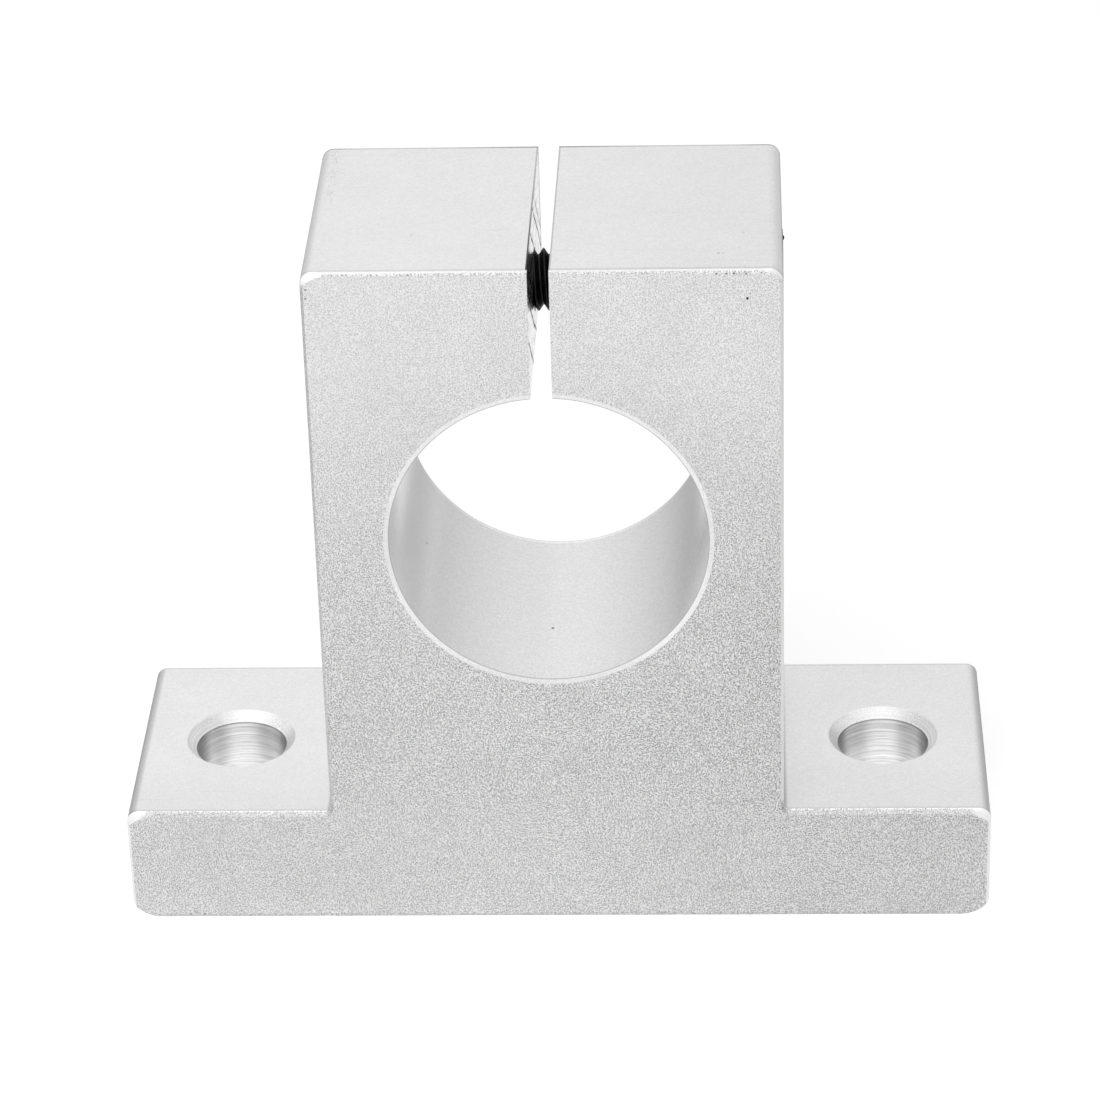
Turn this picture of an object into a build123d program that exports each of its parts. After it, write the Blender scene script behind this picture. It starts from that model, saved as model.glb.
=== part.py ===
"""Split shaft support block with its clamp screw. Millimetres, +Z up.

The foot stands on Z = 0 and is centred on X and Y. The shaft runs along Y, and the clamp screw along X,
with its head at the +X side. The front of the block is at -Y.
"""

import os
from math import sqrt

from build123d import *

# Foot
base_width = 84.0
base_height = 12.0
depth = 28.0
bolt_spacing = 64.0
bolt_diameter = 8.0
bolt_clearance = 1.0
bolt_countersink = 0.9

# Body, bore and saw cut
body_width = 44.0
shaft_diameter = 30.0
shaft_clearance = 0.02
shaft_height = 42.0
slit_width = 2.0

# Corners of the extruded outline, and the arc that rounds off the foot's lower edges
outer_corner_radius = 1.2
inner_corner_radius = 0.5
foot_corner_radius = 3.3
foot_corner_run = 2.8

# Edge breaks round the end faces: how far each runs along the shaft, and how far it drops the tops there.
# The cutter's path rounds the corners more than the outline does.
front_chamfer_run = 0.45
front_body_drop = 0.25
front_foot_drop = 0.4
back_chamfer = 0.3
side_chamfer = 0.3
chamfer_corner_radius = 3.5
chamfer_corner_run = 2.4
chamfer_inner_radius = 1.0
bore_front_chamfer = 0.5
bore_back_chamfer = 1.0

# Clamp screw, and its holes in the ears
screw_above_bore = 5.5
top_above_screw = 7.5
screw_diameter = 6.0
screw_length = 30.0
head_diameter = 10.0
head_height = 6.0
head_proud = 0.1
head_chamfer = 0.5
tip_chamfer = 0.6
key_size = 5.0
key_depth = 3.0
key_cone_depth = 1.2
key_mouth_chamfer = 0.25
thread_clearance = 0.05
screw_hole_clearance = 0.3
head_clearance = 0.5
tapped_mouth_chamfer = 0.6

# Worked out from the sizes above
shaft_bore_radius = (shaft_diameter + shaft_clearance) / 2
bolt_hole_radius = (bolt_diameter + bolt_clearance) / 2
screw_height = shaft_height + shaft_diameter / 2 + screw_above_bore
total_height = screw_height + top_above_screw
front_y = -depth / 2
back_y = depth / 2
head_top_x = body_width / 2 + head_proud
head_seat_x = head_top_x - head_height
screw_tip_x = head_seat_x - screw_length
overcut = 1.0


def arc_drop(radius, run):
    """Fall of an arc over a run along X from the point where it is level."""
    return radius - sqrt(radius**2 - run**2)


def corner(end_x, top_z, radius, run):
    """Arc that leaves a level edge at top_z and ends on the side at end_x."""
    start = (end_x - run, top_z)
    end = (end_x, top_z - arc_drop(radius, run))
    return TangentArc(start, end, tangent=(1, 0))


def outline(y, side_inset, body_drop, foot_drop, corner_radius, corner_run, hollow_radius):
    """The block's outline across the shaft at one depth, with its sides drawn in and its tops lowered."""
    body_x = body_width / 2 - side_inset
    foot_x = base_width / 2 - side_inset
    body_top = total_height - body_drop
    foot_top = base_height - foot_drop
    with BuildSketch(Plane.XZ.offset(-y)) as sketch:
        with BuildLine():
            body_corner = corner(body_x, body_top, corner_radius, corner_run)
            foot_corner = corner(foot_x, foot_top, corner_radius, corner_run)
            hollow = TangentArc(
                (body_x, foot_top + hollow_radius), (body_x + hollow_radius, foot_top), tangent=(0, -1)
            )
            Line((0, body_top), body_corner @ 0)
            Line(body_corner @ 1, hollow @ 0)
            Line(hollow @ 1, foot_corner @ 0)
            Polyline(foot_corner @ 1, (foot_x, 0), (0, 0))
            mirror(about=Plane.YZ)
        make_face()
    return sketch.sketch


def full_outline(y):
    """The extruded outline, with its own small corner radii."""
    return outline(y, 0, 0, 0, outer_corner_radius, outer_corner_radius, inner_corner_radius)


def end_outline(y, body_drop, foot_drop):
    """The outline that is left on an end face inside its edge break."""
    corners = (chamfer_corner_radius, chamfer_corner_run, chamfer_inner_radius)
    return outline(y, side_chamfer, body_drop, foot_drop, *corners)


def block_blank():
    """The extrusion between its two broken ends."""
    front_shoulder = front_y + front_chamfer_run
    back_shoulder = back_y - back_chamfer
    front_face = end_outline(front_y, front_body_drop, front_foot_drop)
    back_face = end_outline(back_y, back_chamfer, back_chamfer)
    middle = extrude(full_outline(back_shoulder), amount=back_shoulder - front_shoulder)
    front_end = loft([full_outline(front_shoulder), front_face], ruled=True)
    back_end = loft([full_outline(back_shoulder), back_face], ruled=True)
    return middle + front_end + back_end


def foot_edge_cut():
    """What the large arc along each lower edge of the foot takes away."""
    side_x = base_width / 2
    arc_start = (side_x - foot_corner_run, 0)
    arc_end = (side_x, arc_drop(foot_corner_radius, foot_corner_run))
    with BuildPart() as cut:
        with BuildSketch(Plane.XZ):
            with BuildLine():
                TangentArc(arc_start, arc_end, tangent=(1, 0))
                Polyline(
                    arc_end,
                    (side_x + overcut, arc_end[1]),
                    (side_x + overcut, -overcut),
                    (arc_start[0], -overcut),
                    arc_start,
                )
            make_face()
        extrude(amount=back_y + overcut, both=True)
        mirror(about=Plane.YZ)
    return cut.part


def shaft_bore_cut():
    """The bore along Y, with its lead-in at both ends."""
    front_radius = shaft_bore_radius + bore_front_chamfer
    back_radius = shaft_bore_radius + bore_back_chamfer
    half_section = Polyline(
        (0, front_y),
        (front_radius, front_y),
        (shaft_bore_radius, front_y + bore_front_chamfer),
        (shaft_bore_radius, back_y - bore_back_chamfer),
        (back_radius, back_y),
        (0, back_y),
        close=True,
    )
    return Pos(Z=shaft_height) * revolve(make_face(half_section), Axis.Y)


def slit_cut():
    """The saw cut from the bore up through the top."""
    height = total_height + overcut - shaft_height
    return Pos(Z=shaft_height) * Box(
        slit_width, depth + 2 * overcut, height, align=(Align.CENTER, Align.CENTER, Align.MIN)
    )


def bolt_hole_cut():
    """One hole through the foot, countersunk from above."""
    mouth_radius = bolt_hole_radius + bolt_countersink
    half_section = Polyline(
        (0, -overcut),
        (bolt_hole_radius, -overcut),
        (bolt_hole_radius, base_height - bolt_countersink),
        (mouth_radius, base_height),
        (mouth_radius, base_height + overcut),
        (0, base_height + overcut),
        close=True,
    )
    return revolve(make_face(Plane.XZ * half_section), Axis.Z)


def screw_hole_cut():
    """Counterbore and clearance hole in the +X ear, tapped hole through the -X ear."""
    tapped_radius = screw_diameter / 2 + thread_clearance
    clear_radius = screw_diameter / 2 + screw_hole_clearance
    head_radius = head_diameter / 2 + head_clearance
    mouth_x = -body_width / 2
    mouth_radius = tapped_radius + tapped_mouth_chamfer
    half_section = Polyline(
        (mouth_x, 0),
        (mouth_x, mouth_radius),
        (mouth_x + tapped_mouth_chamfer, tapped_radius),
        (0, tapped_radius),
        (0, clear_radius),
        (head_seat_x, clear_radius),
        (head_seat_x, head_radius),
        (body_width / 2 + overcut, head_radius),
        (body_width / 2 + overcut, 0),
        close=True,
    )
    return Pos(Z=screw_height) * revolve(make_face(half_section), Axis.X)


def support_block():
    """The block: the blank less its cuts."""
    block = block_blank() - foot_edge_cut() - shaft_bore_cut() - slit_cut() - screw_hole_cut()
    for side in (-1, 1):
        block -= Pos(X=side * bolt_spacing / 2) * bolt_hole_cut()
    return block.clean()


def key_socket_cut():
    """The hexagon for the key, with its drilled cone and broken mouth."""
    hexagon_radius = key_size / sqrt(3)
    face = Plane.YZ.offset(head_top_x)
    hexagon = extrude(face * RegularPolygon(hexagon_radius, 6, major_radius=True), amount=-key_depth)
    half_section = Polyline(
        (head_top_x - key_depth, 0),
        (head_top_x - key_depth, key_size / 2),
        (head_top_x - key_depth - key_cone_depth, 0),
        close=True,
    )
    cone = revolve(make_face(half_section), Axis.X)
    mouth_section = Polyline(
        (head_top_x, 0),
        (head_top_x, hexagon_radius + key_mouth_chamfer),
        (head_top_x - hexagon_radius - key_mouth_chamfer, 0),
        close=True,
    )
    mouth = revolve(make_face(mouth_section), Axis.X)
    return hexagon + cone + mouth


def clamp_screw():
    """Socket head cap screw. The thread is plain here, at its outer diameter."""
    screw_radius = screw_diameter / 2
    head_radius = head_diameter / 2
    half_section = Polyline(
        (screw_tip_x, 0),
        (screw_tip_x, screw_radius - tip_chamfer),
        (screw_tip_x + tip_chamfer, screw_radius),
        (head_seat_x, screw_radius),
        (head_seat_x, head_radius),
        (head_top_x - head_chamfer, head_radius),
        (head_top_x, head_radius - head_chamfer),
        (head_top_x, 0),
        close=True,
    )
    screw = revolve(make_face(half_section), Axis.X) - key_socket_cut()
    return Pos(Z=screw_height) * screw


os.makedirs("parts", exist_ok=True)
export_step(support_block(), "parts/support_block.step")
export_step(clamp_screw(), "parts/clamp_screw.step")
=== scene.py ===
from math import acos, cos, pi, radians, sin, sqrt, tau
from random import Random

import bmesh
import bpy
from mathutils import Matrix, Vector

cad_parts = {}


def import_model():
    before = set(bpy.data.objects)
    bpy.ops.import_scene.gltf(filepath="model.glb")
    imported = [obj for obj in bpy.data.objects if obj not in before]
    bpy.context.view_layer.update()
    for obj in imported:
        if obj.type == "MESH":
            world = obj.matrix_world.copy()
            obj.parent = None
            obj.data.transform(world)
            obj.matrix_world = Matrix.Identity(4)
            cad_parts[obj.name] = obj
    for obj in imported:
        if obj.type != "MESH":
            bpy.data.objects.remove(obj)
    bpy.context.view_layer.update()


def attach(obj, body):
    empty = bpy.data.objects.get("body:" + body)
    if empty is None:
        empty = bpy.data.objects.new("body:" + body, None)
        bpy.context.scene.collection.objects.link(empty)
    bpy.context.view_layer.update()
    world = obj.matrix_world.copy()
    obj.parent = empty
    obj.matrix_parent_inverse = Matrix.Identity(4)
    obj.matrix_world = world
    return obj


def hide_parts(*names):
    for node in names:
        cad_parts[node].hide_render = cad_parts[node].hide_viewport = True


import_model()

# The block, in millimetres, as in the part's source, but with the bore's front lead-in as shallow as the
# photo shows it
base_width, base_height, depth = 84.0, 12.0, 28.0
bolt_spacing, bolt_hole_radius, bolt_countersink = 64.0, 4.5, 0.9
body_width, total_height = 44.0, 70.0
shaft_bore_radius, shaft_height = 15.01, 42.0
outer_corner_radius, inner_corner_radius = 1.2, 0.5
foot_corner_radius, foot_corner_run = 3.3, 2.8
front_chamfer_run, front_body_drop, front_foot_drop = 0.45, 0.25, 0.4
back_chamfer, side_chamfer = 0.3, 0.3
chamfer_corner_radius, chamfer_corner_run, chamfer_inner_radius = 3.5, 2.4, 1.0
bore_front_chamfer, bore_front_chamfer_run, bore_back_chamfer = 0.5, 0.15, 1.0
front_y, back_y = -depth / 2, depth / 2
half_base, half_body = base_width / 2, body_width / 2

# The clamp screw and its holes. The tapped thread is cut only beyond the screw's tip.
screw_height = 62.5
screw_radius, screw_length, thread_pitch, thread_depth, crest_drop = 3.0, 30.0, 1.0, 0.61, 0.04
head_radius, head_height, head_proud = 5.0, 6.0, 0.1
head_chamfer, tip_chamfer = 0.5, 0.6
key_size, key_depth, key_cone_depth, key_mouth_chamfer = 5.0, 3.0, 1.2, 0.25
thread_clearance, screw_hole_clearance, head_clearance = 0.05, 0.3, 0.5
tapped_mouth_chamfer, tapped_thread_depth, tip_clearance = 0.6, 0.53, 0.3
knurl_depth, knurl_end_gap, plain_rim = 0.14, 0.5, 0.35
under_head_length, under_head_rise, seat_chamfer, key_cone_clearance = 0.8, 0.5, 0.2, 0.01

# Worked out from the sizes above
bolt_x = bolt_spacing / 2
head_top_x = half_body + head_proud
head_seat_x = head_top_x - head_height
screw_tip_x = head_seat_x - screw_length
tapped_radius, clear_radius = screw_radius + thread_clearance, screw_radius + screw_hole_clearance
counterbore_radius = head_radius + head_clearance

# Where the thread's ridge starts, as a share of its pitch, so that it shows in the saw cut as in the photo
thread_phase = 0.11

# A small burr on the rim of the head, which shows as a black spot beside the right ear
rim_burr_place, rim_burr_radii = (head_top_x - 0.04, -0.45, screw_height + 4.3), (0.18, 0.35, 0.22)

# Small marks on the front face, as (x, y, z, radius, level)
front_nicks = ((18.7, front_y, 67.15, 0.17, 0.0), (18.95, front_y, 67.6, 0.1, 0.6),
               (19.1, front_y, 67.95, 0.1, 0.7), (-41.6, -13.8, 4.8, 0.2, 0.3),
               (-36.4, front_y, 0.3, 0.15, 0.4), (-35.0, front_y, 0.3, 0.15, 0.4),
               (-21.45, front_y, 68.4, 0.14, 0.4), (-21.5, front_y, 67.5, 0.14, 0.4),
               (15.9, front_y, 69.65, 0.14, 0.3), (16.8, front_y, 69.68, 0.12, 0.2),
               (17.5, front_y, 69.66, 0.14, 0.2), (18.6, front_y, 69.62, 0.12, 0.3))

# The blade's marks on the saw cut's walls, as (height at the middle of the depth, half width, level)
saw_marks = ((52.9, 0.28, 0.3), (57.6, 0.3, 0.2), (66.4, 0.24, 0.4), (70.2, 0.24, 0.3), (72.2, 0.2, 0.5))

# Small scuffs on the top, and specks in the bore, given alike
top_scuffs = ((-12.2, -5.9, total_height, 0.2, 0.8), (16.1, -10.4, total_height, 0.18, 0.6),
              (16.5, -10.4, total_height, 0.14, 0.6), (18.4, -6.1, total_height, 0.22, 0.86),
              (18.0, -9.3, total_height, 0.16, 0.85))
bore_specks = ((-12.6, 0.6, 33.8, 0.16, 0.3), (-0.3, -4.3, 27.0, 0.18, 0.0))

# The middle of a band of painted shade, in patches, along the top's left side
patchy_left_shade_x = -20.5

# How fine the blasting is
dots_per_millimetre = 8.6

# The saw cut's walls as the photo shows them, a little off the middle and out of square
slit_left_front, slit_left_back = -1.28, -1.17
slit_right_front, slit_right_back = 0.71, 0.84

# The feed marks in the foot's holes: how deep and wide they are, and how far apart
groove_depths, groove_widths, groove_gaps = (0.002, 0.006), (0.05, 0.1), (0.06, 0.35)
lowest_groove, plain_collar = 0.3, 0.5

# How far a cut reaches past what it cuts, and how far surfaces are kept apart that would meet
overcut, small_overcut = 1.0, 0.1
apart = 0.02

# Puts a piece that is turned about Z on the screw's axis
along_screw = Matrix.Translation((0, 0, screw_height)) @ Matrix.Rotation(pi / 2, 4, "Y")

# The camera fitted to the photo, in metres, with its lens for a sensor 36 mm wide
sensor_width, lens = 36.0, 145.028
camera_place = (0.017355, -0.375815, 0.244056)
camera_forward, camera_up = (-0.04154, 0.87144, -0.48875), (0.00677, 0.4894, 0.87203)

# The lamp, aimed at the object's middle, and how far the floor reaches, in metres
key_lamp_place, key_lamp_size, key_lamp_power = (-0.14, -0.34, 0.56), 0.7, 1.87
object_middle = (0, 0, 0.035)
floor_reach = 2.0

# Material slots of the block's mesh
BLASTED, SATIN, EDGE, BORE, LEAD_IN, SLIT, CONE, HOLE = range(8)


# Meshes, built in millimetres

def new_object(name, vertices, faces, material_index=0, slots=()):
    """An object from points and faces, every face in one material slot or each in its own."""
    mesh = bpy.data.meshes.new(name)
    mesh.from_pydata([tuple(v) for v in vertices], [], faces)
    for material in slots:
        mesh.materials.append(material)
    indices = material_index if isinstance(material_index, list) else [material_index] * len(faces)
    mesh.polygons.foreach_set("material_index", indices)
    made = bpy.data.objects.new(name, mesh)
    bpy.context.scene.collection.objects.link(made)
    tidy = bmesh.new()
    tidy.from_mesh(mesh)
    bmesh.ops.recalc_face_normals(tidy, faces=tidy.faces)
    tidy.to_mesh(mesh)
    tidy.free()
    return made


def combine(target, tool, operation="DIFFERENCE"):
    """Cuts, joins or intersects the target with the tool, and removes the tool."""
    change = target.modifiers.new("change", "BOOLEAN")
    change.object = tool
    change.operation = operation
    change.solver = "MANIFOLD"
    change.material_mode = "INDEX"
    graph = bpy.context.evaluated_depsgraph_get()
    result = bpy.data.meshes.new_from_object(target.evaluated_get(graph))
    target.modifiers.clear()
    old = target.data
    target.data = result
    bpy.data.meshes.remove(old)
    bpy.data.objects.remove(tool)
    return target


def arc(centre, radius, start, end, steps):
    """Points along an arc in a plane, with angles in radians."""
    angles = [start + (end - start) * k / steps for k in range(steps + 1)]
    return [(centre[0] + radius * cos(a), centre[1] + radius * sin(a)) for a in angles]


def outline(side_inset, body_drop, foot_drop, corner_radius, corner_run, hollow_radius, steps=14):
    """The block's outline across the shaft, as points (x, z)."""
    body_x = half_body - side_inset
    foot_x = half_base - side_inset
    body_top = total_height - body_drop
    foot_top = base_height - foot_drop
    lower_x = half_base - foot_corner_run
    corner_end = acos(corner_run / corner_radius)
    lower_end = -acos((foot_x - lower_x) / foot_corner_radius)
    right = arc((body_x - corner_run, body_top - corner_radius), corner_radius, pi / 2, corner_end, steps)
    right += arc((body_x + hollow_radius, foot_top + hollow_radius), hollow_radius, pi, 1.5 * pi, 8)
    right += arc((foot_x - corner_run, foot_top - corner_radius), corner_radius, pi / 2, corner_end, steps)
    right += arc((lower_x, foot_corner_radius), foot_corner_radius, lower_end, -pi / 2, steps)
    return right + [(-x, z) for x, z in reversed(right)]


def lofted(name, sections, side_slots, cap_slot, slots):
    """A solid through outlines of equal length at several depths, closed at both ends."""
    count = len(sections[0][1])
    vertices = [(x, y, z) for y, points in sections for x, z in points]
    faces, indices = [], []
    for k, slot in enumerate(side_slots):
        for i in range(count):
            j = (i + 1) % count
            faces.append((k * count + i, k * count + j, (k + 1) * count + j, (k + 1) * count + i))
            indices.append(slot)
    last = (len(sections) - 1) * count
    faces += [tuple(range(count)), tuple(last + i for i in reversed(range(count)))]
    indices += [cap_slot, cap_slot]
    return new_object(name, vertices, faces, indices, slots)


def revolved(name, profile, segments, place, span_slots, slots, knurled=()):
    """A solid turned from (height, radius) points, whose first and last lie on the axis.

    The rims numbered in knurled have every second pair of points drawn in.
    """
    rims = profile[1:-1]
    vertices = [(0, 0, profile[0][0])]
    for k, (height, radius) in enumerate(rims):
        for j in range(segments):
            reach = radius - knurl_depth if k in knurled and j % 4 > 1 else radius
            vertices.append((reach * cos(tau * j / segments), reach * sin(tau * j / segments), height))
    vertices.append((0, 0, profile[-1][0]))
    faces, indices = [], []
    for j in range(segments):
        following = (j + 1) % segments
        faces.append((0, 1 + following, 1 + j))
        indices.append(span_slots[0])
        for k in range(len(rims) - 1):
            low, high = 1 + k * segments, 1 + (k + 1) * segments
            faces.append((low + j, low + following, high + following, high + j))
            indices.append(span_slots[k + 1])
        top = 1 + (len(rims) - 1) * segments
        faces.append((top + j, top + following, len(vertices) - 1))
        indices.append(span_slots[-1])
    return new_object(name, [place @ Vector(v) for v in vertices], faces, indices, slots)


def helical(name, start, end, pitch, profile, segments, place, slot, slots):
    """A solid rod with one thread. The profile gives (share of the pitch, radius) over one turn."""
    rows_per_turn = len(profile)
    turns = int((end - start) / pitch) + 3
    rows = turns * rows_per_turn
    vertices = []
    for r in range(rows + 1):
        share, radius = profile[r % rows_per_turn]
        height = start + (r // rows_per_turn - 1.5 + share) * pitch
        vertices += [(radius * cos(tau * j / segments), radius * sin(tau * j / segments),
                      height + pitch * j / segments) for j in range(segments)]
    faces = []
    for r in range(rows):
        this_row, next_row = r * segments, (r + 1) * segments
        for j in range(segments - 1):
            faces.append((this_row + j, this_row + j + 1, next_row + j + 1, next_row + j))
        if r + 1 + rows_per_turn <= rows:
            turn = rows_per_turn * segments
            last = segments - 1
            faces.append((this_row + last, this_row + turn, next_row + turn, next_row + last))
    mesh = bmesh.new()
    points = [mesh.verts.new(v) for v in vertices]
    for face in faces:
        mesh.faces.new([points[k] for k in face])
    for height, outwards in ((start, -1), (end, 1)):
        parts = mesh.verts[:] + mesh.edges[:] + mesh.faces[:]
        bmesh.ops.bisect_plane(mesh, geom=parts, dist=1e-6, plane_co=(0, 0, height),
                               plane_no=(0, 0, outwards), clear_outer=True)
        rim = [edge for edge in mesh.edges
               if edge.is_boundary and all(abs(v.co.z - height) < 1e-4 for v in edge.verts)]
        bmesh.ops.contextual_create(mesh, geom=rim)
    bmesh.ops.delete(mesh, geom=[v for v in mesh.verts if not v.link_faces], context="VERTS")
    mesh.verts.index_update()
    made = new_object(name, [place @ v.co for v in mesh.verts],
                      [tuple(v.index for v in f.verts) for f in mesh.faces], slot, slots)
    mesh.free()
    return made


def carve_bolt_hole(block, centre_x, slots):
    """A drilled hole with uneven feed marks, countersunk from above."""
    draw = Random(round(centre_x))
    mouth_radius = bolt_hole_radius + bolt_countersink
    cone_start = base_height - bolt_countersink
    profile = [(-overcut, 0), (-overcut, bolt_hole_radius)]
    spans = [HOLE, HOLE]
    height = lowest_groove
    while height < cone_start - plain_collar:
        groove_depth = draw.uniform(*groove_depths)
        groove_width = draw.uniform(*groove_widths)
        profile += [(height, bolt_hole_radius), (height + groove_width / 2, bolt_hole_radius + groove_depth),
                    (height + groove_width, bolt_hole_radius)]
        spans += [HOLE] * 3
        height += groove_width + draw.uniform(*groove_gaps)
    profile += [(cone_start, bolt_hole_radius), (base_height, mouth_radius),
                (base_height + overcut, mouth_radius + overcut), (base_height + overcut, 0)]
    spans += [CONE, CONE, CONE]
    place = Matrix.Translation((centre_x, 0, 0))
    combine(block, revolved("bolt_hole", profile, 96, place, spans, slots))


def carve_bore(block, slots):
    """The shaft's bore with its lead-ins."""
    start = front_y - small_overcut
    front_slope = bore_front_chamfer / bore_front_chamfer_run
    profile = [(start, 0), (start, shaft_bore_radius + bore_front_chamfer + small_overcut * front_slope),
               (front_y + bore_front_chamfer_run, shaft_bore_radius),
               (back_y - bore_back_chamfer, shaft_bore_radius),
               (back_y + overcut, shaft_bore_radius + bore_back_chamfer + overcut), (back_y + overcut, 0)]
    place = Matrix.Translation((0, 0, shaft_height)) @ Matrix.Rotation(-pi / 2, 4, "X")
    combine(block, revolved("bore", profile, 192, place, [LEAD_IN, LEAD_IN, BORE, LEAD_IN, LEAD_IN], slots))


def carve_slit(block, slots):
    """The saw cut from the bore up through the top."""
    reach = back_y + overcut
    corners = []
    for y in (-reach, reach):
        share = y / depth + 0.5
        left = slit_left_front + (slit_left_back - slit_left_front) * share
        right = slit_right_front + (slit_right_back - slit_right_front) * share
        for z in (shaft_height, total_height + overcut):
            corners += [(left, y, z), (right, y, z)]
    faces = [(0, 1, 3, 2), (4, 6, 7, 5), (0, 2, 6, 4), (1, 5, 7, 3), (0, 4, 5, 1), (2, 3, 7, 6)]
    combine(block, new_object("slit", corners, faces, SLIT, slots))


def carve_screw_holes(block, slots):
    """Counterbore and clearance hole in one ear, tapped hole in the other."""
    outside = half_body + overcut
    thread_start = screw_tip_x - tip_clearance
    thread_end = thread_start + small_overcut
    minor = tapped_radius - tapped_thread_depth
    wide = [(thread_start, 0), (thread_start, tapped_radius), (0, tapped_radius), (0, clear_radius),
            (head_seat_x, clear_radius), (head_seat_x, counterbore_radius),
            (outside, counterbore_radius), (outside, 0)]
    combine(block, revolved("screw_hole", wide, 96, along_screw, [HOLE] * 7, slots))
    mouth = tapped_radius + tapped_mouth_chamfer
    narrow = [(-outside, 0), (-outside, mouth + overcut), (-half_body + mouth - minor, minor),
              (thread_end, minor), (thread_end, 0)]
    combine(block, revolved("tapped_mouth", narrow, 96, along_screw, [EDGE, EDGE, HOLE, HOLE], slots))
    major, inside = tapped_radius - apart, minor - apart
    groove = [(0.0, inside), (0.125, inside), (0.46, major), (0.54, major), (0.875, inside)]
    tap = helical("tap", -outside, thread_end, thread_pitch, groove, 64, along_screw, HOLE, slots)
    combine(block, tap)


def support_block(slots):
    """The block with its cuts, feed marks and thread, in one mesh."""
    full = outline(0, 0, 0, outer_corner_radius, outer_corner_radius, inner_corner_radius)
    corners = (chamfer_corner_radius, chamfer_corner_run, chamfer_inner_radius)
    sections = [(front_y, outline(side_chamfer, front_body_drop, front_foot_drop, *corners)),
                (front_y + front_chamfer_run, full), (back_y - back_chamfer, full),
                (back_y, outline(side_chamfer, back_chamfer, back_chamfer, *corners))]
    block = lofted("block", sections, [EDGE, SATIN, EDGE], BLASTED, slots)
    carve_bore(block, slots)
    carve_slit(block, slots)
    carve_screw_holes(block, slots)
    for side in (-1, 1):
        carve_bolt_hole(block, side * bolt_x, slots)
    return block


def threaded_shank(slots):
    """The thread, with its tip broken, reaching up into where the head goes."""
    root, crest = screw_radius - thread_depth, screw_radius - crest_drop
    profile = [(0.0, root), (0.06, root), (0.44, crest), (0.56, crest), (0.94, root)]
    ridge = [(thread_phase + share, radius) for share, radius in profile]
    start, end = screw_tip_x - 2 * thread_pitch, head_seat_x - thread_pitch / 2
    shank = helical("thread", start, end, thread_pitch, ridge, 72, along_screw, 0, slots)
    inside_head = head_seat_x + thread_pitch
    envelope = [(screw_tip_x, 0), (screw_tip_x, screw_radius - tip_chamfer),
                (screw_tip_x + tip_chamfer, screw_radius), (inside_head, screw_radius), (inside_head, 0)]
    return combine(shank, revolved("shank", envelope, 72, along_screw, [0] * 4, slots), "INTERSECT")


def screw_head(slots):
    """The knurled head, with the taper under it that the thread runs into."""
    root = screw_radius - thread_depth
    taper_start = head_seat_x - under_head_length
    shoulder = head_top_x - head_chamfer
    profile = [(taper_start, 0), (taper_start, root), (head_seat_x, root + under_head_rise),
               (head_seat_x, head_radius - seat_chamfer), (head_seat_x + seat_chamfer, head_radius),
               (shoulder - knurl_end_gap, head_radius), (shoulder - plain_rim, head_radius),
               (shoulder, head_radius), (head_top_x, head_radius - head_chamfer), (head_top_x, 0)]
    return revolved("head", profile, 240, along_screw, [0] * 9, slots, knurled=(3, 4))


def carve_key_socket(screw, slots):
    """The hexagon for the key, with its drilled cone and broken mouth."""
    hexagon_radius = key_size / sqrt(3)
    key_floor = head_top_x - key_depth
    outside = head_top_x + overcut
    hexagon = [(key_floor, 0), (key_floor, hexagon_radius), (outside, hexagon_radius), (outside, 0)]
    combine(screw, revolved("key", hexagon, 6, along_screw, [0] * 3, slots))
    drilled = key_size / 2 - key_cone_clearance
    above_floor = key_floor + 0.2
    cone = [(key_floor - key_cone_depth, 0), (key_floor, drilled), (above_floor, drilled), (above_floor, 0)]
    combine(screw, revolved("key_cone", cone, 48, along_screw, [0] * 3, slots))
    mouth = hexagon_radius + key_mouth_chamfer
    lead_in = [(head_top_x - mouth, 0), (outside, mouth + overcut), (outside, 0)]
    combine(screw, revolved("key_mouth", lead_in, 48, along_screw, [0, 0], slots))


def clamp_screw(slots):
    """The socket head screw with its thread, knurled head, key socket and burr."""
    screw = threaded_shank(slots)
    combine(screw, screw_head(slots), "UNION")
    carve_key_socket(screw, slots)
    ball = [(-1, 0), (-0.7, 0.7), (0, 1), (0.7, 0.7), (1, 0)]
    place = Matrix.Translation(rim_burr_place) @ Matrix.Diagonal((*rim_burr_radii, 1))
    combine(screw, revolved("rim_burr", ball, 12, place, [0] * 4, slots), "UNION")
    return screw


def finish_mesh(piece, flat_slots, sharp_angle):
    """Scales a piece to metres, and shades its flat faces flat and its round ones smooth."""
    mesh = piece.data
    merge_distance = 1e-5
    shaped = bmesh.new()
    shaped.from_mesh(mesh)
    bmesh.ops.remove_doubles(shaped, verts=shaped.verts, dist=merge_distance)
    bmesh.ops.dissolve_degenerate(shaped, edges=shaped.edges, dist=merge_distance)
    for face in shaped.faces:
        along_axis = max(abs(c) for c in face.normal) > 0.99995
        face.smooth = not (along_axis and face.material_index in flat_slots)
    shaped.to_mesh(mesh)
    shaped.free()
    mesh.transform(Matrix.Scale(0.001, 4))
    mesh.set_sharp_from_angle(angle=sharp_angle)


# Materials
# The levels were set by comparing renders with the photo, region by region. Where a level changes slowly from
# place to place on the block, it follows the photo's own light and shade, and stays so under other light.

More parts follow.
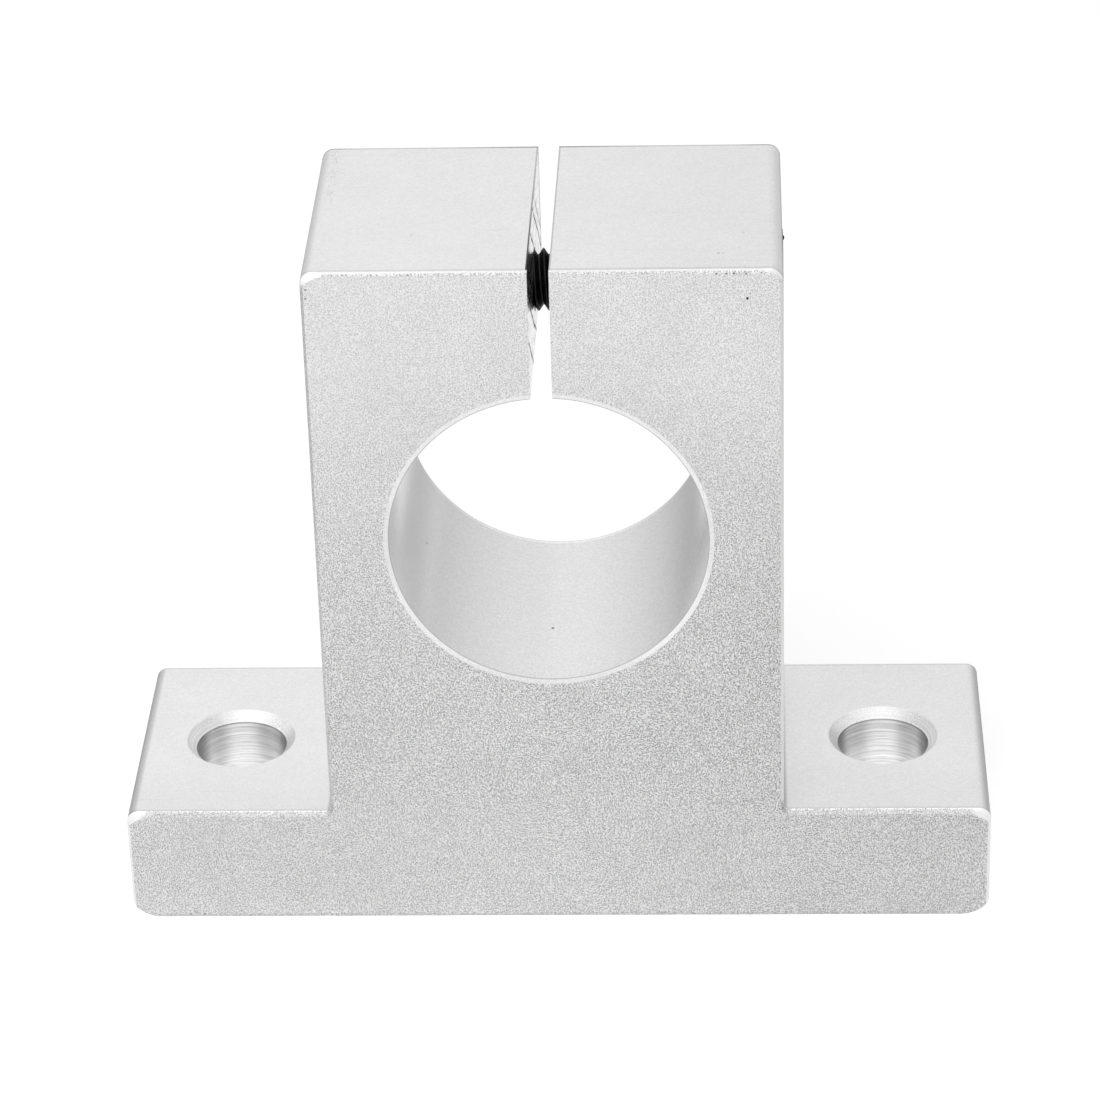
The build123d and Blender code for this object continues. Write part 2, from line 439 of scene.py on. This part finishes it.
class Nodes:
    """Writes shader nodes into one tree."""

    def __init__(self, tree):
        self.tree = tree
        self.tree.nodes.clear()

    def add(self, kind, settings=None, **inputs):
        """A node with its settings, and with a value or another node's output at each named input."""
        node = self.tree.nodes.new("ShaderNode" + kind)
        for key, value in (settings or {}).items():
            setattr(node, key, value)
        for key, value in inputs.items():
            self.feed(node.inputs[key.replace("_", " ")], value)
        return node

    def feed(self, socket, value):
        """Links another node's output to the socket, or sets the socket's own value."""
        if isinstance(value, bpy.types.NodeSocket):
            self.tree.links.new(value, socket)
        else:
            socket.default_value = value

    def math(self, operation, *values):
        """The result of one Math node."""
        node = self.add("Math", {"operation": operation})
        for socket, value in zip(node.inputs, values):
            self.feed(socket, value)
        return node.outputs[0]

    def vector(self, operation, *values, scale=None):
        """The result of one Vector Math node."""
        node = self.add("VectorMath", {"operation": operation})
        for socket, value in zip(node.inputs, values):
            self.feed(socket, value)
        if scale is not None:
            node.inputs["Scale"].default_value = scale
        return node.outputs["Value" if operation == "DISTANCE" else "Vector"]

    def ramp(self, value, low, high, to_low=0.0, to_high=1.0, smooth=True):
        """The value between low and high, carried over to another range and held at its ends."""
        kind = {"interpolation_type": "SMOOTHSTEP" if smooth else "LINEAR"}
        node = self.add("MapRange", kind, Value=value, From_Min=low, From_Max=high,
                        To_Min=to_low, To_Max=to_high)
        return node.outputs["Result"]

    def product(self, *values):
        """All the values multiplied."""
        result = values[0]
        for value in values[1:]:
            result = self.math("MULTIPLY", result, value)
        return result

    def total(self, *values):
        """All the values added."""
        result = values[0]
        for value in values[1:]:
            result = self.math("ADD", result, value)
        return result

    def rest(self, value):
        """What the value leaves of 1."""
        return self.math("SUBTRACT", 1.0, value)

    def highest(self, first, second):
        """The higher of two values."""
        return self.math("MAXIMUM", first, second)

    def absolute(self, value):
        """The value without its sign."""
        return self.math("ABSOLUTE", value)


class Shader(Nodes):
    """Builds one material. Positions are the piece's own, in millimetres."""

    def __init__(self, name):
        self.material = bpy.data.materials.new(name)
        self.material.use_nodes = True
        super().__init__(self.material.node_tree)
        coordinates = self.add("TexCoord").outputs["Object"]
        self.place = self.vector("SCALE", coordinates, scale=1000.0)
        self.x, self.y, self.z = self.add("SeparateXYZ", Vector=self.place).outputs

    def shifted(self, seed):
        """The place, moved so that each seed gives another part of a texture."""
        return self.vector("ADD", self.place, (seed, seed * 0.7, -seed))

    def noise(self, scale, detail=2.0, roughness=0.5, stretch=(1, 1, 1), seed=0.0):
        """Noise whose grain is about 1 / scale millimetres, longer where stretch is under 1."""
        place = self.vector("MULTIPLY", self.shifted(seed), stretch)
        node = self.add("TexNoise", Vector=place, Scale=scale, Detail=detail, Roughness=roughness)
        return node.outputs["Fac"]

    def cells(self, scale, seed=0.0):
        """A random number for each of the irregular cells, which are about 1 / scale millimetres wide."""
        colour = self.add("TexVoronoi", Vector=self.shifted(seed), Scale=scale).outputs["Color"]
        return self.add("SeparateColor", Color=colour).outputs["Red"]

    def dots(self, seed=0.0):
        """1 in the blasting's fine scattered dots, and 0 between them."""
        node = self.add("TexVoronoi", Vector=self.shifted(seed), Scale=dots_per_millimetre)
        return self.ramp(node.outputs["Distance"], 0.35, 0.5, 1.0, 0.0)

    def line(self, value, at, half_width, level):
        """1 everywhere but in a thin line where the value is at the given number, and level there."""
        distance = self.absolute(self.math("SUBTRACT", value, at))
        return self.ramp(distance, half_width * 0.6, half_width, level, 1.0, smooth=False)

    def spots(self, places):
        """1 everywhere but in small spots, each given as (x, y, z, radius, level), and that level there."""
        levels = []
        for *centre, radius, level in places:
            distance = self.vector("DISTANCE", self.place, tuple(centre))
            levels.append(self.ramp(distance, radius * 0.5, radius, level, 1.0))
        return self.product(*levels)

    def bump(self, height, distance):
        """A bump whose full height is distance, in millimetres."""
        return self.add("Bump", Height=height, Strength=1.0, Distance=distance * 0.001).outputs["Normal"]

    def grey(self, value):
        """A neutral colour at the value."""
        return self.add("CombineColor", Red=value, Green=value, Blue=value).outputs["Color"]

    def surface(self, level, roughness, normal, metallic, **more):
        """The finished material, whose colour is grey at the level."""
        shader = self.add("BsdfPrincipled", Base_Color=self.grey(level), Roughness=roughness,
                          Metallic=metallic, Normal=normal, **more)
        output = self.add("OutputMaterial")
        self.feed(output.inputs["Surface"], shader.outputs["BSDF"])
        return self.material


def blasted_face():
    """The sawn and blasted ends: fine dark dots, which stand out less towards the top, with painted shade."""
    s = Shader("blasted_aluminium_ends")
    # How strongly the dots show changes with height and side as painted shade: more lower down and on the
    # right.
    contrast = s.product(s.ramp(s.z, 9.0, 18.0, 0.68, 0.8), s.ramp(s.z, 24.0, 66.0, 1.0, 0.5),
                         s.ramp(s.x, -half_base, half_base, 0.86, 1.08))
    cloud = s.ramp(s.noise(0.22, seed=3.0), 0.3, 0.7, 0.985, 1.015)
    # Painted shade, darker towards the right, less so near the top.
    painted_shade_right = s.product(s.ramp(s.x, -15.0, 35.0, 0.0, 0.06), s.ramp(s.z, 45.0, 62.0, 1.0, 0.2))
    # Besides the dots, cloud and nicks: painted shade, a little darker lower down, and a thin line along the
    # bottom.
    level = s.product(s.rest(s.product(s.dots(), contrast)), cloud, s.rest(painted_shade_right),
                      s.ramp(s.z, 40.0, 62.0, 0.932, 0.966), s.line(s.z, 0.1, 0.25, 0.9),
                      s.spots(front_nicks))
    return s.surface(level, 0.55, s.bump(s.noise(8.0, detail=2.0, roughness=0.7), 0.02), 0.6)


def back_edge_shade_level(s, on_foot):
    """How bright the painted shade line at the tops' back edge is: darkest near the saw cut, and faint on the
    foot.
    """
    from_slit = s.absolute(s.math("ADD", s.x, 0.2))
    on_top = s.product(s.ramp(from_slit, 1.0, 12.0, 0.3, 0.72), s.ramp(from_slit, 18.0, 20.0, 1.0, 0.75))
    return s.highest(on_top, s.product(on_foot, 0.85))


def patchy_left_shade(s, on_ears):
    """How much painted shade darkens the patches near the top's left side, more towards the back."""
    near_side = s.ramp(s.absolute(s.math("SUBTRACT", s.x, patchy_left_shade_x)), 0.1, 0.9, 1.0, 0.0)
    patches = s.ramp(s.noise(3.5, seed=21.0), 0.5, 0.68, 0.0, 0.2)
    return s.product(on_ears, near_side, s.ramp(s.y, -2.0, 6.0, 0.3, 1.0), patches)


def foot_shade(s, on_foot):
    """How much darker the foot is at its front, on its roundings, and where it meets the body."""
    on_rounding = s.math("GREATER_THAN", s.z, base_height - outer_corner_radius)
    across = s.absolute(s.x)
    leftwards = s.math("MULTIPLY", s.x, -1.0)
    rounded = s.total(s.ramp(leftwards, half_base - 1.1, half_base - 0.7, 0.0, 0.24),
                      s.ramp(s.x, half_base - 1.0, half_base - 0.3, 0.0, 0.22))
    inner_corner = s.product(s.math("GREATER_THAN", across, half_body - 0.01),
                             s.ramp(across, half_body, half_body + inner_corner_radius, 0.35, 0.0))
    shade = s.total(s.ramp(s.y, front_y, -3.0, 0.05, 0.0), s.product(on_rounding, rounded), inner_corner)
    return s.product(on_foot, shade)


def ear_shade(s, on_ears):
    """How much darker the ears' tops are on the left rounding and towards the right."""
    leftwards = s.math("MULTIPLY", s.x, -1.0)
    shade = s.total(s.ramp(leftwards, half_body - 1.0, half_body - 0.6, 0.0, 0.09),
                    s.ramp(s.x, 0.0, 20.0, 0.0, 0.03))
    return s.product(on_ears, shade)


def slit_edge_shade_line(s, front, back, outwards, level):
    """A thin line of painted shade beside one wall of the saw cut, which lies at front and back along X."""
    along_wall = s.math("SUBTRACT", s.x, s.math("MULTIPLY", s.y, (back - front) / depth))
    return s.line(along_wall, (front + back) / 2 + outwards, 0.12, level)


def satin_face():
    """The extruded tops and sides: a fine, even satin, with thin lines of painted shade along the cut edges.
    """
    s = Shader("blasted_aluminium_sides")
    on_foot = s.math("LESS_THAN", s.z, base_height + 1.0)
    on_ears = s.math("GREATER_THAN", s.z, total_height - outer_corner_radius)
    satin = s.ramp(s.cells(8.0), 0.0, 1.0, 0.82, 0.91)
    cloud = s.ramp(s.noise(0.15, seed=5.0), 0.3, 0.7, 0.99, 1.01)
    scratches = s.ramp(s.noise(1.6, detail=1.0, stretch=(0.1, 3.0, 1.0), seed=9.0), 0.69, 0.74, 1.0, 0.93)
    # Painted shade in thin lines along the tops' front and back edges and on the roundings of ears and foot.
    painted_edge_shade = s.product(s.line(s.y, front_y + 0.58, 0.2, 0.86),
                           s.line(s.y, back_y - 0.38, 0.2, back_edge_shade_level(s, on_foot)),
                           s.line(s.z, total_height - 1.0, 0.35, 0.7),
                           s.line(s.z, base_height - 1.0, 0.3, 0.6))
    # Painted shade in a thin line beside each wall of the saw cut, the left one darkest at the front.
    fading = s.ramp(s.y, front_y, 12.0, 0.0, 0.6)
    left_slit_shade = slit_edge_shade_line(s, slit_left_front, slit_left_back, -0.05, fading)
    right_slit_shade = slit_edge_shade_line(s, slit_right_front, slit_right_back, 0.05, 0.65)
    shades = [patchy_left_shade(s, on_ears), foot_shade(s, on_foot), ear_shade(s, on_ears)]
    level = s.product(satin, cloud, scratches, painted_edge_shade, left_slit_shade, right_slit_shade, s.spots(top_scuffs),
                      *[s.rest(shade) for shade in shades])
    return s.surface(level, 0.3, s.bump(s.noise(7.0, detail=3.0, roughness=0.7), 0.008), 0.7)


def broken_edge():
    """The milled edge breaks: bright on the ears, with dots along their lower border, darker on the foot.

    Their wide corners are brightest, as painted highlight, and have the fewest dots.
    """
    s = Shader("blasted_aluminium_edges")
    on_ears = s.math("GREATER_THAN", s.z, total_height - 1.4)
    on_foot = s.math("LESS_THAN", s.z, base_height + 1.0)
    on_sides = s.rest(s.total(on_ears, on_foot))
    left_corner = s.ramp(s.x, 1.0 - half_body, 2.3 - half_body, 1.0, 0.0)
    ear_corner = s.highest(left_corner, s.ramp(s.x, half_body - 2.3, half_body - 1.0, 0.0, 0.45))
    foot_corner = s.ramp(s.absolute(s.x), half_base - 2.5, half_base - 1.0, 0.0, 1.0)
    corner = s.highest(s.product(on_foot, foot_corner), s.product(on_ears, ear_corner))
    endwards = s.absolute(s.y)
    # The dots are the blasting's grain; how strongly they show from place to place is painted shade.
    contrast = s.total(s.product(on_ears, s.ramp(endwards, back_y - 0.3, back_y - 0.05, 0.1, 0.8)),
                       s.product(on_foot, 0.6), s.product(on_sides, s.ramp(s.x, -20.0, 20.0, 0.5, 0.15)))
    contrast = s.product(contrast, s.rest(corner))
    # Painted highlight: the foot's edge is lighter to the right, with a bright line along its front edge.
    foot_level = s.product(s.ramp(s.x, -half_base, -20.0, 0.62, 0.7), s.line(s.y, front_y + 0.44, 0.1, 1.35))
    # Painted shade along the ears' edge breaks next to the top, darker towards the right.
    upper_border = s.ramp(endwards, back_y - 0.45, back_y - 0.35, s.ramp(s.x, -10.0, 10.0, 0.72, 0.55), 1.0)
    # Painted highlight: the sides lighter to the right, and the wide corners brightest.
    bright = s.total(s.product(on_ears, 0.87), s.product(on_foot, foot_level),
                     s.product(on_sides, s.ramp(s.x, -20.0, 20.0, 0.84, 1.0)))
    bright = s.total(bright, s.product(corner, s.rest(bright)))
    level = s.product(bright, s.highest(upper_border, s.rest(on_ears)),
                      s.rest(s.product(s.dots(seed=2.0), contrast)))
    return s.surface(level, 0.5, s.bump(s.noise(8.0, detail=2.0, roughness=0.7), 0.02), 0.6)


def bore_wall():
    """The bored wall: satin, with a painted highlight line by its back rim.

    It is brighter at the front of its sides, as painted highlight, and on the right also duller there.
    """
    s = Shader("blasted_aluminium_bore")
    marks = s.noise(1.0, detail=3.0, stretch=(0.05, 9.0, 0.05))
    back_line = back_y - bore_back_chamfer - 0.3
    at_sides = s.ramp(s.absolute(s.x), 12.5, 14.6, 0.0, 1.0)
    front_side = s.product(s.ramp(s.y, front_y, -1.0, 1.0, 0.0), at_sides)
    front_right = s.product(front_side, s.math("GREATER_THAN", s.x, 0.0))
    # Painted highlight at the front of the sides and by the back rim, and painted shade low down; the specks
    # are real.
    level = s.product(s.ramp(s.cells(8.0), 0.0, 1.0, 0.78, 0.88), s.ramp(marks, 0.3, 0.7, 0.99, 1.01),
                      s.ramp(s.z, 27.0, 34.0, 0.965, 1.0), s.line(s.y, back_line, 0.2, 1.15),
                      s.total(1.0, s.product(front_side, 0.18)), s.spots(bore_specks))
    roughness = s.total(0.22, s.product(front_right, 0.25))
    metallic = s.math("SUBTRACT", 0.87, s.product(front_right, 0.5))
    return s.surface(level, roughness, s.bump(marks, 0.001), metallic)


def bore_lead_in():
    """The bore's lead-ins: bright all round, with fine dots and a thin darker line at the inner rim."""
    s = Shader("blasted_aluminium_lead_ins")
    in_plane = s.add("CombineXYZ", X=s.x, Y=0.0, Z=s.z).outputs[0]
    from_axis = s.vector("DISTANCE", in_plane, (0.0, 0.0, shaft_height))
    rim_line = s.ramp(from_axis, shaft_bore_radius + 0.02, shaft_bore_radius + 0.1, 0.45, 1.0)
    # Painted shade, darker low down and at the sides.
    level = s.product(s.ramp(s.z, 27.0, 31.0, 0.9, 1.0), s.rest(s.product(s.dots(seed=4.0), 0.17)),
                      s.ramp(s.absolute(s.x), 14.4, 15.2, 1.0, 0.93), rim_line)
    return s.surface(level, 0.5, s.bump(s.noise(8.0), 0.01), 0.8)


def sawn_wall():
    """The saw cut's walls: bright and smooth, with a few slanting marks and a dull back edge."""
    s = Shader("blasted_aluminium_saw_cut")
    wander = s.math("MULTIPLY", s.noise(0.25, seed=7.0), 1.2)
    slant = s.total(s.z, s.math("MULTIPLY", s.y, 0.74), wander)
    patchy = s.ramp(s.noise(0.35, seed=11.0), 0.35, 0.6, 0.45, 1.0)
    bright = s.product(*[s.line(slant, at, half_width, level) for at, half_width, level in saw_marks])
    mottled = s.ramp(s.noise(1.2, detail=3.0, seed=13.0), 0.35, 0.65, 0.0, 0.19)
    dull = s.highest(s.product(patchy, s.rest(bright)), s.ramp(s.y, back_y - 1.5, back_y - 0.4, 0.0, 0.45))
    dull = s.highest(dull, mottled)
    level = s.math("SUBTRACT", 0.95, s.product(dull, 0.75))
    roughness = s.total(0.06, s.product(dull, 0.7))
    return s.surface(level, roughness, s.bump(bright, 0.001), s.rest(dull))


def countersink_face():
    """The countersinks: bright, with the cutter's fine rings, and painted shade on the side towards the body.
    """
    s = Shader("blasted_aluminium_countersinks")
    across = s.absolute(s.x)
    folded = s.add("CombineXYZ", X=across, Y=s.y, Z=0.0).outputs[0]
    from_axis = s.vector("DISTANCE", folded, (bolt_x, 0.0, 0.0))
    rings = s.add("TexNoise", {"noise_dimensions": "1D"}, W=from_axis, Scale=6.0, Detail=2.0).outputs["Fac"]
    ring_depth = s.product(s.ramp(s.y, 0.5, 4.0, 0.16, 0.07), s.ramp(across, bolt_x - 3.5, bolt_x, 0.4, 1.0))
    dotted = s.product(s.ramp(s.y, 1.0, 3.0, 0.0, 1.0), s.ramp(s.y, 3.6, 4.8, 1.0, 0.25))
    dot_depth = s.total(0.08, s.product(dotted, 0.14))
    # Painted shade on the side towards the body, and a little at the back of the left countersink.
    inner_side_shade = s.product(s.ramp(across, bolt_x - 5.0, bolt_x - 1.5, 0.28, 0.0),
                           s.ramp(s.y, 0.5, 3.0, 1.0, 0.2))
    left_back_shade = s.ramp(s.y, 2.0, 4.5, 1.0, s.ramp(s.x, -1.0, 1.0, 0.9, 1.0))
    level = s.product(s.rest(s.product(s.ramp(rings, 0.35, 0.65, 1.0, 0.0), ring_depth)), s.rest(inner_side_shade),
                      left_back_shade, s.rest(s.product(s.dots(seed=6.0), dot_depth)))
    return s.surface(level, 0.6, s.bump(rings, 0.012), 0.8)


def hole_wall():
    """The round holes' walls: thin uneven rings, and painted shade, darker at the foot holes' sides and inner
    rims.

    The screw's holes, which are all nearer to the middle, get the level of the foot holes' inner sides.
    """
    s = Shader("blasted_aluminium_holes")
    rings = s.noise(3.8, detail=3.0, roughness=0.6, stretch=(0.06, 0.06, 1.0))
    across = s.absolute(s.x)
    aside = s.absolute(s.math("SUBTRACT", across, bolt_x))
    # Painted shade: darker at the sides, low down, towards the middle, and in a line below the countersink.
    level = s.product(s.ramp(rings, 0.38, 0.6, 0.84, 1.0), s.ramp(aside, 0.0, 2.6, 0.93, 1.0),
                      s.ramp(aside, bolt_hole_radius - 1.2, bolt_hole_radius - 0.1, 1.0, 0.58),
                      s.ramp(s.z, 5.0, 8.5, 0.83, 1.0), s.ramp(across, bolt_x - 4.4, bolt_x - 2.6, 0.9, 1.0),
                      s.line(s.z, base_height - bolt_countersink - 0.06, 0.14, 0.6))
    return s.surface(level, 0.34, s.bump(rings, 0.004), 1.0)


def blackened_steel():
    """Black oxide with a little oil."""
    s = Shader("blackened_steel")
    grain = s.noise(6.0, detail=3.0)
    return s.surface(s.ramp(grain, 0.3, 0.7, 0.004, 0.012), s.ramp(grain, 0.3, 0.7, 0.3, 0.45),
                     s.bump(grain, 0.006), 0.0, Specular_IOR_Level=0.2)


# Camera, floor and light

def camera():
    """The camera at the photo's viewing angle."""
    data = bpy.data.cameras.new("camera")
    data.sensor_width = sensor_width
    data.lens = lens
    made = bpy.data.objects.new("camera", data)
    bpy.context.scene.collection.objects.link(made)
    forward = Vector(camera_forward).normalized()
    up = Vector(camera_up)
    up = (up - up.dot(forward) * forward).normalized()
    axes = Matrix((forward.cross(up), up, -forward)).transposed().to_4x4()
    made.matrix_world = Matrix.Translation(camera_place) @ axes
    data.clip_start, data.clip_end = 0.05, 20.0
    bpy.context.scene.camera = made


def painted_floor_reflection(s):
    """How bright the metal mirrors the floor: a painted reflection, as a glow that only the metal sees.

    It is bright in front and a little darker near the block, has a painted shadow behind the block but for
    painted light from the bore, and is brightest under the block, where only the foot's holes mirror it.
    """
    in_front = s.ramp(s.y, -170.0, front_y, 1.1, 0.96)
    painted_shadow = s.product(s.ramp(s.y, 80.0, 360.0, 0.55, 0.74), s.ramp(s.x, -60.0, 60.0, 0.86, 1.0))
    painted_bore_light = s.ramp(s.absolute(s.x), 8.0, 24.0, 1.0, 0.0)
    behind = s.total(painted_shadow, s.product(painted_bore_light, s.math("SUBTRACT", 0.97, painted_shadow)))
    is_behind = s.math("GREATER_THAN", s.y, back_y)
    is_under = s.product(s.math("LESS_THAN", s.absolute(s.y), back_y),
                         s.math("LESS_THAN", s.absolute(s.x), half_base))
    level = s.total(s.product(in_front, s.rest(is_behind)), s.product(behind, is_behind))
    return s.total(s.product(level, s.rest(is_under)), s.product(1.7, is_under))


def floor():
    """A plain white floor that keeps the object's shadow, and shows the metal a painted reflection."""
    s = Shader("floor")
    path = s.add("LightPath").outputs
    seen = s.add("AddShader")
    s.feed(seen.inputs[0], s.add("BsdfDiffuse", Color=(0.9, 0.9, 0.9, 1.0)).outputs[0])
    whitening = s.math("MULTIPLY", path["Is Camera Ray"], 0.46)
    s.feed(seen.inputs[1], s.add("Emission", Strength=whitening).outputs[0])
    # The metal sees the floor as a glow of painted reflection, with painted shadow and painted light; it is
    # no lamp.
    both = s.add("MixShader", Fac=s.highest(path["Is Glossy Ray"], path["Is Transmission Ray"]))
    s.feed(both.inputs[1], seen.outputs[0])
    s.feed(both.inputs[2], s.add("Emission", Strength=painted_floor_reflection(s)).outputs[0])
    output = s.add("OutputMaterial")
    s.feed(output.inputs["Surface"], both.outputs[0])
    corners = [(x * floor_reach, y * floor_reach, 0) for x, y in ((-1, -1), (1, -1), (1, 1), (-1, 1))]
    new_object("floor", corners, [(0, 1, 2, 3)], 0, [s.material])


def world():
    """Soft light from all round, white to the camera, but darker in the metal low down and on the right."""
    made = bpy.data.worlds.new("studio")
    bpy.context.scene.world = made
    made.use_nodes = True
    s = Nodes(made.node_tree)
    path = s.add("LightPath").outputs
    across, _, upwards = s.add("SeparateXYZ", Vector=s.add("TexCoord").outputs["Generated"]).outputs
    ambient = 0.45
    mirrored = s.product(s.ramp(upwards, 0.0, 0.5, 0.7, 1.05, smooth=False),
                         s.ramp(across, -0.1, 0.12, 1.0, 0.93))
    seen = s.total(path["Is Camera Ray"], path["Is Transmission Ray"])
    strength = s.total(ambient, s.product(seen, 1.0 - ambient),
                       s.product(path["Is Glossy Ray"], s.math("SUBTRACT", mirrored, ambient)))
    background = s.add("Background", Color=(1.0, 1.0, 1.0, 1.0), Strength=strength)
    output = s.add("OutputWorld")
    s.feed(output.inputs["Surface"], background.outputs[0])


def lamp(name, place, size, power):
    """A square soft lamp aimed at the middle of the object."""
    data = bpy.data.lights.new(name, "AREA")
    data.shape = "SQUARE"
    data.size = size
    data.energy = power
    made = bpy.data.objects.new(name, data)
    made.location = place
    made.rotation_euler = (Vector(object_middle) - Vector(place)).to_track_quat("-Z", "Y").to_euler()
    bpy.context.scene.collection.objects.link(made)


# The scene

block_slots = [blasted_face(), satin_face(), broken_edge(), bore_wall(), bore_lead_in(), sawn_wall(),
               countersink_face(), hole_wall()]
block = support_block(block_slots)
finish_mesh(block, {BLASTED, SATIN, SLIT}, radians(22))
block.name = "support_block_finished"
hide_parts("support_block")
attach(block, "block")

screw = clamp_screw([blackened_steel()])
finish_mesh(screw, {0}, radians(30))
screw.name = "clamp_screw_threaded"
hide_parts("clamp_screw")
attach(screw, "screw")

camera()
floor()
world()
lamp("key", key_lamp_place, key_lamp_size, key_lamp_power)

bpy.context.scene.view_settings.view_transform = "Standard"
